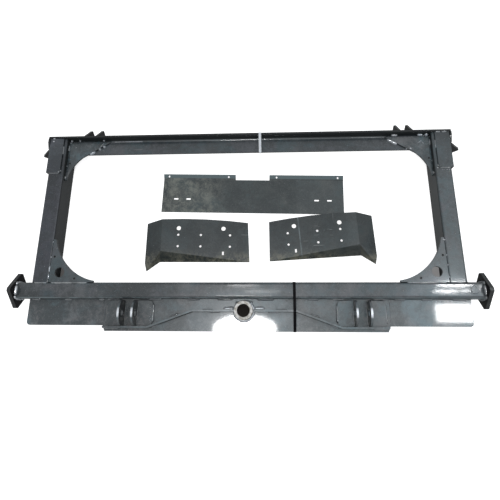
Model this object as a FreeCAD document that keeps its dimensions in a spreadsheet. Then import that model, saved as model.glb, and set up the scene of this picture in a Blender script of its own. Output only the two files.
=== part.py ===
import FreeCAD, Part
import Sketcher
import math
import os

# Welded quick attach frame lying on its back on the floor, with three loose sheet pieces inside its window.
# X runs along the bottom beam to the right, Y from the beam towards the top rail, Z up from the floor.
# Lengths are in millimetres. Heights start at the floor and Y starts at the beam's axis, until the whole
# part is moved by origin_shift so that its origin is the middle of its footprint.

# Driving sizes
SIZES = {
    "overall_width": 1900,
    "flange_thickness": 15,
    "flange_clip": 6,
    "beam_side": 63.5,
    "beam_wall": 5,
    "beam_corner": 10,
    "plug_radius": 13,
    "plug_setback": 55,
    "plug_rise": 1.5,
    "plug_clearance": 0.15,
    "frame_setback": 62,
    "upright_width": 70,
    "upright_depth": 101.6,
    "upright_wall": 6,
    "upright_corner": 8,
    "window_length": 640,
    "rail_leg": 75,
    "rail_height": 50,
    "rail_thickness": 8,
    "rail_fillet": 9,
    "lip_rise": 11,
    "lip_overhang": 12,
    "doubler_thickness": 6,
    "doubler_length": 163,
    "doubler_inset": 14,
    "doubler_skirt": 92,
    "rib_thickness": 8,
    "rib_reach": 48,
    "rib_crest": 20,
    "rib_drop": 45,
    "lug_thickness": 10,
    "lug_reach": 57,
    "lug_foot": 34,
    "lug_nose_low": 34,
    "lug_nose_radius": 16,
    "lug_top": 7,
    "lug_floor_gap": 6,
    "rear_lug_line": 697,
    "rear_lug_gap": 42,
    "side_lug_setback": 56,
    "top_gusset_thickness": 8,
    "top_gusset_run": 190,
    "top_gusset_drop": 190,
    "top_gusset_elbow_in": 67,
    "top_gusset_elbow_drop": 83,
    "top_gusset_tip": 8,
    "top_gusset_radius": 170,
    "top_gusset_hole_in": 12,
    "top_gusset_hole_drop": 110.5,
    "low_gusset_thickness": 12,
    "low_gusset_run": 187,
    "low_gusset_rise": 178,
    "low_gusset_tip": 11,
    "low_gusset_radius": 217,
    "big_hole_radius": 20.5,
    "big_hole_in": 42,
    "big_hole_up": 40,
    "small_hole_radius": 4.5,
    "upper_hole_in": 13,
    "upper_hole_up": 105,
    "lower_hole_in": 107,
    "lower_hole_up": 15,
    "apron_setback": 42,
    "apron_reach": 104,
    "apron_thickness": 10,
    "apron_corner": 15,
    "center_width": 1142,
    "center_reach": 126,
    "center_thickness": 10,
    "center_cut_in": 9,
    "center_cut_up": 20,
    "boss_line": 79,
    "boss_radius": 36.5,
    "boss_bore": 25,
    "boss_length": 72,
    "boss_clearance": 0.2,
    "stiffener_thickness": 8,
    "stiffener_height": 30,
    "stiffener_low_line": 142.5,
    "stiffener_bend_out": 382,
    "stiffener_bend_in": 206,
    "clevis_thickness": 8,
    "clevis_foot": 66,
    "clevis_depth": 98,
    "clevis_height": 72,
    "clevis_corner": 14,
    "clevis_line": 462,
    "clevis_gap": 46,
    "clevis_setback": 7.25,
    "pin_radius": 13,
    "pin_height": 34,
    "strap_gap": 0.3,
    "strap_thickness": 1,
    "strap_width": 11,
    "dark_strap_line": 200,
    "pale_strap_line": 65,
    "cover_width": 809,
    "cover_depth": 154,
    "cover_thickness": 3,
    "tab_reach": 21,
    "tab_rise": 12,
    "tab_notch": 152,
    "tab_hole_radius": 4,
    "tab_hole_out": 380,
    "tab_hole_in": 108,
    "tab_hole_setback": 9,
    "cover_slot_length": 20,
    "cover_slot_width": 7,
    "cover_slot_out": 342,
    "cover_slot_in": 286,
    "cover_slot_up": 62,
    "cover_x": 24.5,
    "cover_y": 343.5,
    "cover_turn": -1.4,
    "tray_thickness": 4,
    "tray_length": 380,
    "tray_depth": 180,
    "tray_bow": 8,
    "tray_height": 38,
    "tray_flange_height": 33,
    "tray_flange_reach": 42,
    "tray_wing_reach": 72,
    "tray_wing_drop": 30,
    "tray_wing_cut": 49,
    "tray_tip_reach": 82,
    "tray_large_hole": 9.5,
    "tray_large_first": 73,
    "tray_large_second": 266,
    "tray_large_row": 101,
    "tray_small_hole": 5,
    "tray_first_column": 72,
    "tray_second_column": 169,
    "tray_third_column": 295,
    "tray_low_row": 22,
    "tray_high_row": 72,
    "tray_slot_width": 8,
    "tray_slot_length": 15,
    "tray_slot_drop": 7,
    "tray_left_x": -363.5,
    "tray_left_y": 170.5,
    "tray_right_x": 480,
    "tray_right_y": 195,
    "tray_right_turn": 3.2,
}

# Shares that hold at any size: how round the ears' tops are, how far the lower gusset's arc stands off the
# beam, and how far a band's corner points lie from the corners they go round
EAR_ROUNDNESS = "0.53"
ARC_LIFT = "0.6"
EDGE_SHARE = "0.6"
LEG_SHARE = "0.5"
CORNER_SHARE = "0.4"
LEAN_SHARE = "0.3"

# Where the tray's bowed edge is measured, as shares of its length from the free end, and where the bow is fullest
BOW_SHARES = (0.98, 0.75, 0.5, 0.25, 0)
BOW_CREST = 0.6

# Sizes that follow from the driving ones
RULES = {
    "zero": "0",
    "half_width": "overall_width / 2",
    "beam_half": "beam_side / 2",
    "beam_flat": "beam_half - beam_corner",
    "beam_inside": "beam_half - beam_wall",
    "beam_inner_corner": "beam_corner / 2",
    "beam_inner_flat": "beam_inside - beam_inner_corner",
    "beam_length": "overall_width - 2 * flange_thickness",
    "beam_height": "upright_depth - beam_half",
    "beam_under": "beam_height - beam_half",
    "flange_x": "half_width - flange_thickness / 2",
    "plug_x": "half_width - plug_setback",
    "plug_hole": "plug_radius + plug_clearance",
    "plug_seat": "upright_depth - beam_wall",
    "plug_length": "beam_wall + plug_rise",
    "frame_width": "beam_length - 2 * frame_setback",
    "upright_out": "frame_width / 2",
    "upright_in": "upright_out - upright_width",
    "upright_x": "upright_out - upright_width / 2",
    "upright_half": "upright_width / 2",
    "upright_flat": "upright_half - upright_corner",
    "upright_low_bend": "upright_corner",
    "upright_high_bend": "upright_depth - upright_corner",
    "upright_inside": "upright_half - upright_wall",
    "upright_inner_corner": "upright_corner / 3",
    "upright_inner_flat": "upright_inside - upright_inner_corner",
    "upright_floor": "upright_wall",
    "upright_floor_bend": "upright_wall + upright_inner_corner",
    "upright_ceiling": "upright_depth - upright_wall",
    "upright_ceiling_bend": "upright_ceiling - upright_inner_corner",
    "upright_mid": "beam_half + window_length / 2",
    "lip_near": "beam_half + window_length",
    "lip_far": "lip_near + rail_thickness",
    "leg_near": "lip_far - rail_leg",
    "lip_top": "upright_depth + lip_rise",
    "rail_under": "lip_top - rail_height",
    "leg_top": "rail_under + rail_thickness",
    "fillet_y": "lip_near - rail_fillet",
    "fillet_z": "leg_top + rail_fillet",
    "leg_length": "frame_width - 2 * upright_width",
    "lip_length": "frame_width + 2 * lip_overhang",
    "doubler_in": "upright_in + doubler_inset",
    "doubler_out": "upright_out + doubler_thickness",
    "doubler_top": "upright_depth + doubler_thickness",
    "doubler_skirt_end": "upright_depth - doubler_skirt",
    "doubler_y": "lip_near - doubler_length / 2",
    "rib_x": "doubler_out + rib_thickness / 2",
    "rib_low": "lip_top - rib_drop",
    "rib_near": "lip_near - rib_reach",
    "rib_crest_end": "lip_near - rib_crest",
    "lug_head": "upright_depth",
    "lug_low": "lug_floor_gap",
    "lug_nose_start": "lug_low + lug_nose_low",
    "lug_nose_end": "lug_nose_start + lug_nose_radius * sqrt(3) / 2",
    "lug_nose_reach": "lug_reach - lug_nose_radius / 2",
    "rear_lug_in": "rear_lug_line - (rear_lug_gap + lug_thickness) / 2",
    "rear_lug_out": "rear_lug_line + (rear_lug_gap + lug_thickness) / 2",
    "side_lug_y": "lip_near - side_lug_setback",
    "top_gusset_start": "upright_in - top_gusset_run",
    "top_gusset_elbow_x": "upright_in - top_gusset_elbow_in",
    "top_gusset_elbow_y": "lip_near - top_gusset_elbow_drop",
    "top_gusset_end_y": "lip_near - top_gusset_drop",
    "top_gusset_end_x": "upright_in - top_gusset_tip",
    "top_gusset_hole_x": "upright_in - top_gusset_hole_in",
    "top_gusset_hole_y": "lip_near - top_gusset_hole_drop",
    "top_gusset_bend": "lip_near - rail_fillet",
    "low_gusset_z": "upright_depth - low_gusset_thickness",
    "low_gusset_start": "upright_in - low_gusset_run",
    "low_gusset_lift": "beam_half + low_gusset_tip * " + ARC_LIFT,
    "low_gusset_end_y": "beam_half + low_gusset_rise",
    "low_gusset_end_x": "upright_in - low_gusset_tip",
    "big_hole_x": "upright_in - big_hole_in",
    "big_hole_y": "beam_half + big_hole_up",
    "upper_hole_x": "upright_in - upper_hole_in",
    "upper_hole_y": "beam_half + upper_hole_up",
    "lower_hole_x": "upright_in - lower_hole_in",
    "lower_hole_y": "beam_half + lower_hole_up",
    "apron_z": "beam_under + beam_corner",
    "apron_half": "beam_length / 2 - apron_setback",
    "apron_bend_x": "apron_half - apron_corner",
    "apron_near": "beam_half + apron_reach",
    "apron_bend_y": "apron_near - apron_corner",
    "center_z": "apron_z + apron_thickness",
    "center_half": "center_width / 2",
    "center_near": "beam_half + center_reach",
    "center_cut_x": "center_half - center_cut_in",
    "center_cut_y": "center_near - center_cut_up",
    "center_top": "center_z + center_thickness",
    "boss_hole": "boss_radius + boss_clearance",
    "boss_edge": "boss_radius + boss_clearance / 2",
    "stiffener_top": "center_top + stiffener_height",
    "stiffener_half": "stiffener_thickness / 2",
    "boss_line_near": "boss_line + stiffener_half",
    "boss_line_far": "boss_line - stiffener_half",
    "low_line_near": "stiffener_low_line + stiffener_half",
    "low_line_far": "stiffener_low_line - stiffener_half",
    "clevis_half": "clevis_thickness / 2",
    "clevis_in": "clevis_line - (clevis_gap + clevis_thickness) / 2",
    "clevis_out": "clevis_line + (clevis_gap + clevis_thickness) / 2",
    "clevis_far": "beam_half + clevis_setback",
    "clevis_near": "clevis_far + clevis_depth",
    "clevis_mid": "clevis_far + clevis_depth / 2",
    "clevis_toe": "clevis_foot - clevis_corner",
    "clevis_far_bend": "clevis_far + clevis_corner",
    "clevis_near_bend": "clevis_near - clevis_corner",
    "clevis_round": "clevis_depth * " + EAR_ROUNDNESS,
    "clevis_crown": "clevis_round - sqrt(clevis_round * clevis_round - clevis_depth * clevis_depth / 4)",
    "clevis_shoulder": "clevis_height - clevis_crown",
    "corner_cut": "beam_corner * (2 - sqrt(2))",
    "half_cover": "cover_width / 2",
    "cover_edge": "cover_depth + tab_reach",
    "tab_root_top": "cover_thickness",
    "tab_tip_top": "cover_thickness + tab_rise",
    "half_notch": "tab_notch / 2",
    "tab_hole_y": "cover_edge - tab_hole_setback",
    "half_slot": "cover_slot_width / 2",
    "notch_end": "cover_edge + tab_reach",
    "slot_out_near": "cover_slot_out - cover_slot_length / 2",
    "slot_out_far": "cover_slot_out + cover_slot_length / 2",
    "slot_in_near": "cover_slot_in - cover_slot_length / 2",
    "slot_in_far": "cover_slot_in + cover_slot_length / 2",
    "slot_low": "cover_slot_up - half_slot",
    "slot_high": "cover_slot_up + half_slot",
    "front_edge": "center_near + strap_gap + strap_thickness",
    "rear_edge": "lip_far + lug_reach",
    "origin_shift": "(front_edge - rear_edge) / 2",
    "cover_place_y": "cover_y + origin_shift",
    "tray_left_place": "tray_left_y + origin_shift",
    "tray_right_place": "tray_right_y + origin_shift",
    "rear_lug_place": "lip_far + origin_shift",
    "side_lug_place": "side_lug_y + origin_shift",
    "doubler_place": "doubler_y + origin_shift",
    "upright_place": "upright_mid + origin_shift",
}
for name, offset in (("in", "strap_gap"), ("out", "strap_gap + strap_thickness")):
    RULES["band_back_" + name] = "beam_half + " + offset
    RULES["band_under_" + name] = "beam_under - (" + offset + ")"
    RULES["band_low_" + name] = "beam_under + corner_cut - (" + offset + ") * " + CORNER_SHARE
    RULES["band_high_" + name] = "upright_depth - corner_cut + (" + offset + ") * " + CORNER_SHARE
    RULES["band_turn_" + name] = "beam_half - corner_cut + (" + offset + ") * " + CORNER_SHARE
    RULES["band_over_" + name] = "upright_depth + " + offset
    RULES["band_crest_y_" + name] = "boss_line_near + (" + offset + ") * " + LEAN_SHARE
    RULES["band_crest_z_" + name] = "stiffener_top + " + offset
    RULES["band_front_" + name] = "center_near + " + offset
    RULES["band_front_top_" + name] = "center_top + (" + offset + ") * " + EDGE_SHARE
    RULES["band_front_low_" + name] = "center_z - (" + offset + ") * " + EDGE_SHARE
    RULES["band_apron_" + name] = "apron_near + (" + offset + ") * " + LEAN_SHARE
    RULES["band_apron_z_" + name] = "apron_z - (" + offset + ")"
    RULES["wrap_back_" + name] = "lip_far + " + offset
    RULES["wrap_top_" + name] = "lip_top + " + offset
    RULES["wrap_edge_" + name] = "lip_near - (" + offset + ") * " + EDGE_SHARE
    RULES["wrap_near_" + name] = "leg_near - (" + offset + ")"
    RULES["wrap_leg_" + name] = "leg_top + (" + offset + ") * " + LEG_SHARE
    RULES["wrap_under_" + name] = "rail_under - (" + offset + ")"

doc = FreeCAD.newDocument("QuickAttachFrame")
sheet = doc.addObject("Spreadsheet::Sheet", "Sizes")
cells = [(name, str(number)) for name, number in SIZES.items()]
cells += [(name, "=" + rule) for name, rule in RULES.items()]
for row, (name, text) in enumerate(cells, start=1):
    sheet.set("A%d" % row, name)
    sheet.set("B%d" % row, text)
    sheet.setAlias("B%d" % row, name)
doc.recompute()

nodes = []


# Reading and binding the sheet's values
def value(name):
    if name.startswith("-"):
        return -value(name[1:])
    return float(sheet.get(name))


def formula(name, side=1):
    turned = side < 0
    if name.startswith("-"):
        turned = not turned
        name = name[1:]
    return ("-1 * Sizes." if turned else "Sizes.") + name


def place(thing, x="zero", y="zero", z="zero", side=1):
    thing.setExpression(".Placement.Base.x", formula(x, side))
    thing.setExpression(".Placement.Base.y", formula(y))
    thing.setExpression(".Placement.Base.z", formula(z))


# A body for one piece, placed by named values
def new_body(label, x="zero", y="origin_shift", z="zero", side=1):
    body = doc.addObject("PartDesign::Body", label)
    body.Label = label
    place(body, x, y, z, side)
    nodes.append(body)
    return body


# A sketch on one of the body's own origin planes
def new_sketch(body, plane):
    sketch = body.newObject("Sketcher::SketchObject", body.Name + "_sketch")
    support = [item for item in body.Origin.OriginFeatures if item.Role == plane][0]
    sketch.AttachmentSupport = [(support, "")]
    sketch.MapMode = "FlatFace"
    return sketch


def arc_through(start, end, radius, turn):
    chord = end - start
    middle = (start + end) * 0.5
    normal = FreeCAD.Vector(-chord.y, chord.x, 0).normalize()
    reach = math.sqrt(max(radius ** 2 - (chord.Length / 2) ** 2, 0))
    centre = middle + normal * (reach * turn)
    crown = centre - normal * (radius * turn)
    return Part.Arc(start, crown, end)


# A closed outline whose corners and radii are all bound to the sheet.
# Each corner is a pair of names. An entry in arcs turns the edge that leaves that corner into an arc:
# its radius, and +1 when the centre lies to the left of the way along the outline, else -1.
def draw_outline(sketch, corners, arcs=None, side=1):
    arcs = arcs or {}
    points = [FreeCAD.Vector(side * value(x), value(y), 0) for x, y in corners]
    edges = []
    ends = []
    for index, start in enumerate(points):
        end = points[(index + 1) % len(points)]
        if index in arcs:
            radius, turn = arcs[index]
            edges.append(arc_through(start, end, value(radius), turn * side))
            ends.append((1, 2) if turn * side > 0 else (2, 1))
        else:
            edges.append(Part.LineSegment(start, end))
            ends.append((1, 2))
    drawn = sketch.addGeometry(edges, False)
    rules = []
    bound = []
    for index, (x, y) in enumerate(corners):
        edge = drawn[index]
        following = (index + 1) % len(corners)
        first, last = ends[index]
        rules.append(Sketcher.Constraint("DistanceX", -1, 1, edge, first, points[index].x))
        bound.append(formula(x, side))
        rules.append(Sketcher.Constraint("DistanceY", -1, 1, edge, first, points[index].y))
        bound.append(formula(y))
        rules.append(Sketcher.Constraint("Coincident", edge, last, drawn[following], ends[following][0]))
        bound.append(None)
        if index in arcs:
            rules.append(Sketcher.Constraint("Radius", edge, value(arcs[index][0])))
            bound.append(formula(arcs[index][0]))
    for number, rule in zip(sketch.addConstraint(rules), bound):
        if rule:
            sketch.setExpression("Constraints[%d]" % number, rule)


# A circle bound to the sheet by its centre and radius
def draw_circle(sketch, x, y, radius, side=1):
    centre = FreeCAD.Vector(side * value(x), value(y), 0)
    drawn = sketch.addGeometry(Part.Circle(centre, FreeCAD.Vector(0, 0, 1), value(radius)), False)
    rules = [
        Sketcher.Constraint("DistanceX", -1, 1, drawn, 3, centre.x),
        Sketcher.Constraint("DistanceY", -1, 1, drawn, 3, centre.y),
        Sketcher.Constraint("Radius", drawn, value(radius)),
    ]
    bound = [formula(x, side), formula(y), formula(radius)]
    for number, rule in zip(sketch.addConstraint(rules), bound):
        sketch.setExpression("Constraints[%d]" % number, rule)


def pad(body, sketch, length, symmetric=False):
    feature = body.newObject("PartDesign::Pad", body.Name + "_pad")
    feature.Profile = sketch
    if symmetric:
        feature.SideType = "Symmetric"
    feature.setExpression("Length", formula(length))
    body.Tip = feature
    return feature


# A rounded rectangle's corners and arcs, from the flat and full reach along each axis
def rounded(flat_x, full_x, low, low_bend, high_bend, high, radius):
    corners = [
        ("-" + flat_x, low), (flat_x, low), (full_x, low_bend), (full_x, high_bend),
        (flat_x, high), ("-" + flat_x, high), ("-" + full_x, high_bend), ("-" + full_x, low_bend),
    ]
    return corners, {1: (radius, 1), 3: (radius, 1), 5: (radius, 1), 7: (radius, 1)}


# A hook lug's plate, with its root at zero and a rounded nose
def draw_lug(body, plane, side=1):
    sketch = new_sketch(body, plane)
    draw_outline(sketch, [
        ("zero", "lug_low"), ("lug_foot", "lug_low"), ("lug_reach", "lug_nose_start"),
        ("lug_nose_reach", "lug_nose_end"), ("lug_top", "lug_head"), ("zero", "lug_head"),
    ], {2: ("lug_nose_radius", 1)}, side)
    pad(body, sketch, "lug_thickness", symmetric=True)


# Bottom beam: a square tube with a plug hole in its upper wall near the right end
beam = new_body("bottom_beam", z="beam_height")
profile = new_sketch(beam, "YZ_Plane")
draw_outline(profile, *rounded("beam_flat", "beam_half", "-beam_half", "-beam_flat", "beam_flat",
                               "beam_half", "beam_corner"))
draw_outline(profile, *rounded("beam_inner_flat", "beam_inside", "-beam_inside", "-beam_inner_flat",
                               "beam_inner_flat", "beam_inside", "beam_inner_corner"))
tube = pad(beam, profile, "beam_length", symmetric=True)
hole = new_sketch(beam, "XY_Plane")
draw_circle(hole, "plug_x", "zero", "plug_hole")
doc.recompute()
full_volume = tube.Shape.Volume
pocket = beam.newObject("PartDesign::Pocket", "plug_pocket")
pocket.Profile = hole
pocket.Type = "ThroughAll"
pocket.Reversed = True
beam.Tip = pocket
doc.recompute()
plug_volume = math.pi * value("plug_hole") ** 2 * value("beam_wall")
if abs(full_volume - beam.Shape.Volume - plug_volume) > 0.02 * plug_volume:
    raise ValueError("the plug hole does not cut the beam's upper wall alone")
if beam.Shape.isInside(FreeCAD.Vector(value("plug_x"), value("origin_shift"),
                                      value("upright_depth") - value("beam_wall") / 2), 0.01, True):
    raise ValueError("the plug hole is not in the beam's upper wall")

plug = new_body("beam_plug", x="plug_x", z="plug_seat")
disc = new_sketch(plug, "XY_Plane")
draw_circle(disc, "zero", "zero", "plug_radius")
pad(plug, disc, "plug_length")

# Pieces that come as a left and right pair
for side, hand in ((-1, "left"), (1, "right")):
    # Diamond flange: a square plate turned on its corner, its four corners clipped
    flange = new_body("end_flange_" + hand, x="flange_x", z="beam_height", side=side)
    diamond = new_sketch(flange, "YZ_Plane")
    draw_outline(diamond, [
        ("flange_clip", "beam_height"), ("-flange_clip", "beam_height"),
        ("-beam_height", "flange_clip"), ("-beam_height", "-flange_clip"),
        ("-flange_clip", "-beam_height"), ("flange_clip", "-beam_height"),
        ("beam_height", "-flange_clip"), ("beam_height", "flange_clip"),
    ])
    pad(flange, diamond, "flange_thickness", symmetric=True)

    # Upright: a rectangular tube from the beam's far face to the lip
    upright = new_body("upright_" + hand, x="upright_x", y="upright_place", side=side)
    section = new_sketch(upright, "XZ_Plane")
    draw_outline(section, *rounded("upright_flat", "upright_half", "zero", "upright_low_bend",
                                   "upright_high_bend", "upright_depth", "upright_corner"))
    draw_outline(section, *rounded("upright_inner_flat", "upright_inside", "upright_floor",
                                   "upright_floor_bend", "upright_ceiling_bend", "upright_ceiling",
                                   "upright_inner_corner"))
    pad(upright, section, "window_length", symmetric=True)

    # Doubler: an angle over the upright's far outer corner, where the side lug is welded
    doubler = new_body("corner_doubler_" + hand, y="doubler_place", side=side)
    bent = new_sketch(doubler, "XZ_Plane")
    draw_outline(bent, [
        ("doubler_in", "upright_depth"), ("upright_out", "upright_depth"),
        ("upright_out", "doubler_skirt_end"), ("doubler_out", "doubler_skirt_end"),
        ("doubler_out", "doubler_top"), ("doubler_in", "doubler_top"),
    ], side=side)
    pad(doubler, bent, "doubler_length", symmetric=True)

    # Rib that ties the end of the lip to the doubler's outer face
    rib = new_body("lip_end_rib_" + hand, x="rib_x", side=side)
    taper = new_sketch(rib, "YZ_Plane")
    draw_outline(taper, [
        ("rib_near", "rib_low"), ("lip_near", "rib_low"), ("lip_near", "lip_top"),
        ("rib_crest_end", "lip_top"), ("rib_near", "upright_depth"),
    ])
    pad(rib, taper, "rib_thickness", symmetric=True)

    # Upper gusset lies on the rail's flat leg
    upper = new_body("gusset_top_" + hand, z="leg_top", side=side)
    plate = new_sketch(upper, "XY_Plane")
    draw_outline(plate, [
        ("upright_in", "top_gusset_bend"), ("top_gusset_start", "top_gusset_bend"),
        ("top_gusset_elbow_x", "top_gusset_elbow_y"), ("top_gusset_end_x", "top_gusset_end_y"),
        ("upright_in", "top_gusset_end_y"),
    ], {2: ("top_gusset_radius", -1)}, side)
    draw_circle(plate, "top_gusset_hole_x", "top_gusset_hole_y", "small_hole_radius", side)
    pad(upper, plate, "top_gusset_thickness")

    # Lower gusset is flush with the upright's face
    lower = new_body("gusset_bottom_" + hand, z="low_gusset_z", side=side)
    plate = new_sketch(lower, "XY_Plane")
    draw_outline(plate, [
        ("upright_in", "beam_half"), ("upright_in", "low_gusset_end_y"),
        ("low_gusset_end_x", "low_gusset_end_y"), ("low_gusset_start", "low_gusset_lift"),
        ("low_gusset_start", "beam_half"),
    ], {2: ("low_gusset_radius", -1)}, side)
    draw_circle(plate, "big_hole_x", "big_hole_y", "big_hole_radius", side)
    draw_circle(plate, "upper_hole_x", "upper_hole_y", "small_hole_radius", side)
    draw_circle(plate, "lower_hole_x", "lower_hole_y", "small_hole_radius", side)
    pad(lower, plate, "low_gusset_thickness")

    # Hook lugs: the same upright plate, two behind the rail and one on the outer side
    for spot in ("inner", "outer"):
        lug = new_body("rear_lug_%s_%s" % (hand, spot), x="rear_lug_in" if spot == "inner" else "rear_lug_out",
                       y="rear_lug_place", side=side)
        draw_lug(lug, "YZ_Plane")
    lug = new_body("side_lug_" + hand, x="doubler_out", y="side_lug_place", side=side)
    draw_lug(lug, "XZ_Plane", side)

    # Stiffener: a bar on edge that runs from the boss out to the end of the centre plate
    bar = new_body("stiffener_" + hand, z="center_top", side=side)
    path = new_sketch(bar, "XY_Plane")
    draw_outline(path, [
        ("boss_edge", "-boss_line_near"), ("stiffener_bend_in", "-boss_line_near"),
        ("stiffener_bend_out", "-low_line_near"), ("center_cut_x", "-low_line_near"),
        ("center_cut_x", "-low_line_far"), ("stiffener_bend_out", "-low_line_far"),
        ("stiffener_bend_in", "-boss_line_far"), ("boss_edge", "-boss_line_far"),
    ], side=side)
    pad(bar, path, "stiffener_height")

    # Clevis: two bent plates, each a foot on the centre plate and an ear with a pin hole
    for spot, outward in (("inner", -side), ("outer", side)):
        ear = new_body("clevis_%s_%s" % (hand, spot), x="clevis_in" if spot == "inner" else "clevis_out",
                       z="center_top", side=side)
        foot = new_sketch(ear, "XY_Plane")
        draw_outline(foot, [
            ("-clevis_half", "-clevis_near"), ("clevis_toe", "-clevis_near"),
            ("clevis_foot", "-clevis_near_bend"), ("clevis_foot", "-clevis_far_bend"),
            ("clevis_toe", "-clevis_far"), ("-clevis_half", "-clevis_far"),
        ], {1: ("clevis_corner", 1), 3: ("clevis_corner", 1)}, outward)
        pad(ear, foot, "clevis_thickness")
        blade = new_sketch(ear, "YZ_Plane")
        draw_outline(blade, [
            ("-clevis_near", "zero"), ("-clevis_far", "zero"),
            ("-clevis_far", "clevis_shoulder"), ("-clevis_near", "clevis_shoulder"),
        ], {2: ("clevis_round", 1)})
        draw_circle(blade, "-clevis_mid", "pin_height", "pin_radius")
        pad(ear, blade, "clevis_thickness", symmetric=True)

# Top rail: an angle whose lip stands at the far side and whose flat leg fills the space between the uprights
rail = new_body("top_rail")
lip = new_sketch(rail, "YZ_Plane")
draw_outline(lip, [
    ("lip_near", "rail_under"), ("lip_far", "rail_under"), ("lip_far", "lip_top"), ("lip_near", "lip_top"),
])
pad(rail, lip, "lip_length", symmetric=True)
leg = new_sketch(rail, "YZ_Plane")
draw_outline(leg, [
    ("leg_near", "rail_under"), ("lip_near", "rail_under"), ("lip_near", "fillet_z"),
    ("fillet_y", "leg_top"), ("leg_near", "leg_top"),
], {2: ("rail_fillet", -1)})
pad(rail, leg, "leg_length", symmetric=True)

# Apron and the thicker centre plate that lies on it, both with a hole for the boss
apron = new_body("apron_plate", z="apron_z")
plate = new_sketch(apron, "XY_Plane")
draw_outline(plate, [
    ("-apron_half", "-beam_half"), ("-apron_half", "-apron_bend_y"), ("-apron_bend_x", "-apron_near"),
    ("apron_bend_x", "-apron_near"), ("apron_half", "-apron_bend_y"), ("apron_half", "-beam_half"),
], {1: ("apron_corner", 1), 3: ("apron_corner", 1)})
draw_circle(plate, "zero", "-boss_line", "boss_hole")
pad(apron, plate, "apron_thickness")

center = new_body("center_plate", z="center_z")
plate = new_sketch(center, "XY_Plane")
draw_outline(plate, [
    ("-center_half", "-beam_half"), ("-center_half", "-center_cut_y"), ("-center_cut_x", "-center_near"),
    ("center_cut_x", "-center_near"), ("center_half", "-center_cut_y"), ("center_half", "-beam_half"),
])
draw_circle(plate, "zero", "-boss_line", "boss_hole")
pad(center, plate, "center_thickness")

# Boss: a round tube through both plates
boss = new_body("pivot_boss", z="apron_z")
ring = new_sketch(boss, "XY_Plane")
draw_circle(ring, "zero", "-boss_line", "boss_radius")
draw_circle(ring, "zero", "-boss_line", "boss_bore")
pad(boss, ring, "boss_length")

# Binding straps: thin closed bands drawn tight over what they hold
dark = new_body("strap_dark", x="dark_strap_line")
band = new_sketch(dark, "YZ_Plane")
for name in ("out", "in"):
    draw_outline(band, [
        ("band_back_" + name, "band_low_" + name), ("band_back_" + name, "band_high_" + name),
        ("band_turn_" + name, "band_over_" + name), ("-band_turn_" + name, "band_over_" + name),
        ("-band_crest_y_" + name, "band_crest_z_" + name), ("-band_front_" + name, "band_front_top_" + name),
        ("-band_front_" + name, "band_front_low_" + name), ("-band_apron_" + name, "band_apron_z_" + name),
        ("-band_turn_" + name, "band_under_" + name), ("band_turn_" + name, "band_under_" + name),
    ])
pad(dark, band, "strap_width", symmetric=True)

pale = new_body("strap_pale", x="pale_strap_line")
band = new_sketch(pale, "YZ_Plane")
for name in ("out", "in"):
    draw_outline(band, [
        ("wrap_back_" + name, "wrap_under_" + name), ("wrap_back_" + name, "wrap_top_" + name),
        ("wrap_edge_" + name, "wrap_top_" + name), ("wrap_near_" + name, "wrap_leg_" + name),
        ("wrap_near_" + name, "wrap_under_" + name),
    ])
pad(pale, band, "strap_width", symmetric=True)

# Loose cover plate: a flat sheet with two folded tabs along its far edge and a notch between them
cover = new_body("cover_plate", x="cover_x", y="cover_place_y")
cover.Placement.Rotation = FreeCAD.Rotation(FreeCAD.Vector(0, 0, 1), value("cover_turn"))
sheet_outline = new_sketch(cover, "XY_Plane")
draw_outline(sheet_outline, [
    ("-half_cover", "zero"), ("half_cover", "zero"), ("half_cover", "cover_depth"),
    ("-half_cover", "cover_depth"),
])
pad(cover, sheet_outline, "cover_thickness")
fold = new_sketch(cover, "YZ_Plane")
draw_outline(fold, [
    ("cover_depth", "zero"), ("cover_edge", "tab_rise"), ("cover_edge", "tab_tip_top"),
    ("cover_depth", "tab_root_top"),
])
pad(cover, fold, "cover_width", symmetric=True)
cuts = new_sketch(cover, "XY_Plane")
draw_outline(cuts, [
    ("-half_notch", "cover_depth"), ("half_notch", "cover_depth"), ("half_notch", "notch_end"),
    ("-half_notch", "notch_end"),
])
for side in (-1, 1):
    for hole_x in ("tab_hole_out", "tab_hole_in"):
        draw_circle(cuts, hole_x, "tab_hole_y", "tab_hole_radius", side)
    for near, far in (("slot_out_near", "slot_out_far"), ("slot_in_near", "slot_in_far")):
        draw_outline(cuts, [
            (near, "slot_low"), (far, "slot_low"), (far, "slot_high"), (near, "slot_high"),
        ], side=side)
doc.recompute()
uncut_volume = cover.Shape.Volume
pocket = cover.newObject("PartDesign::Pocket", "cover_pocket")
pocket.Profile = cuts
pocket.Type = "ThroughAll"
pocket.Reversed = True
cover.Tip = pocket
doc.recompute()
notch_volume = value("tab_notch") * value("tab_reach") * value("cover_thickness")
if not notch_volume < uncut_volume - cover.Shape.Volume < 2 * notch_volume:
    raise ValueError("the notch and holes do not cut the cover plate through")


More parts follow.
